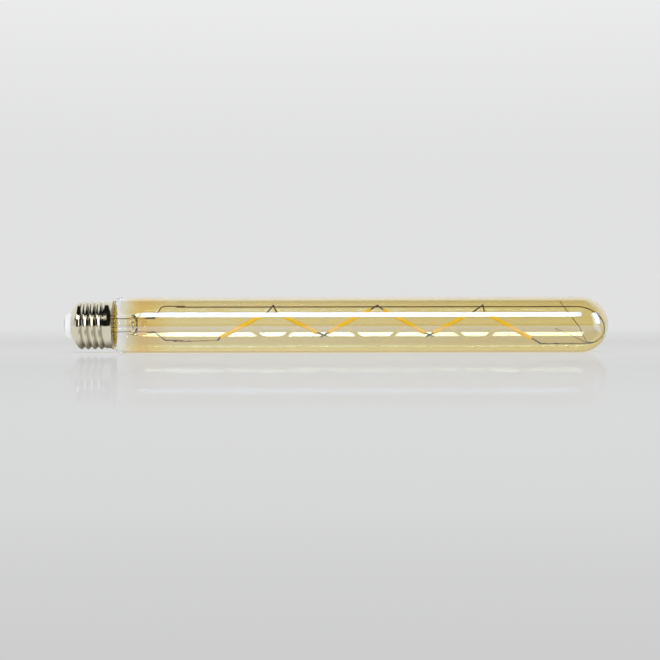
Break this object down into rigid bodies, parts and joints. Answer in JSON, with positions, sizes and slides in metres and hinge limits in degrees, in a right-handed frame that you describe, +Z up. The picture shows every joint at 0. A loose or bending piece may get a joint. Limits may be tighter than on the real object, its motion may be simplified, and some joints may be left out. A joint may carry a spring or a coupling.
{
  "type": "tubular light bulb",
  "caption": "Tubular amber glass lamp with a zigzag of LED filaments on a wire frame, a glass stem and a screw cap for a 27 mm holder.",
  "frame": {"origin": "middle of the centre contact's flat face, at the cap's end", "axes": "+X along the lamp's axis from the cap to the domed end, +Z up, lamp lying on its side"},
  "size_m": [0.293, 0.03, 0.03],
  "materials": {
    "amber_glass": "clear tinted",
    "clear_glass": "clear",
    "nickel": "bright plated",
    "white_insulator": "moulded",
    "cement": "matt",
    "board": "coated",
    "package": "moulded",
    "can": "satin",
    "resistor": "lacquered",
    "wire": "drawn",
    "phosphor": "coated",
    "tab": "rolled"
  },
  "bodies": {
    "root": {"glass_envelope": "amber_glass", "glass_stem": "clear_glass", "exhaust_tube": "clear_glass", "screw_shell": "nickel", "cap_insulator": "white_insulator", "contact_button": "nickel", "cap_cement": "cement", "driver_board": "board", "bridge_rectifier": "package", "driver_chip": "package", "fuse_resistor": "resistor", "smoothing_capacitor": "can", "live_wire": "wire", "neutral_wire": "wire", "lead_in_upper": "wire", "lead_in_lower": "wire", "jumper_upper": "wire", "jumper_lower": "wire", "feed_wire": "wire", "return_wire": "wire", "brace_leg_upper": "wire", "brace_leg_side": "wire", "filament_1": "phosphor", "filament_1_start_tab": "tab", "filament_1_end_tab": "tab", "filament_2": "phosphor", "filament_2_start_tab": "tab", "filament_2_end_tab": "tab", "filament_3": "phosphor", "filament_3_start_tab": "tab", "filament_3_end_tab": "tab", "filament_4": "phosphor", "filament_4_start_tab": "tab", "filament_4_end_tab": "tab", "filament_5": "phosphor", "filament_5_start_tab": "tab", "filament_5_end_tab": "tab", "filament_6": "phosphor", "filament_6_start_tab": "tab", "filament_6_end_tab": "tab"}
  },
  "joints": []
}
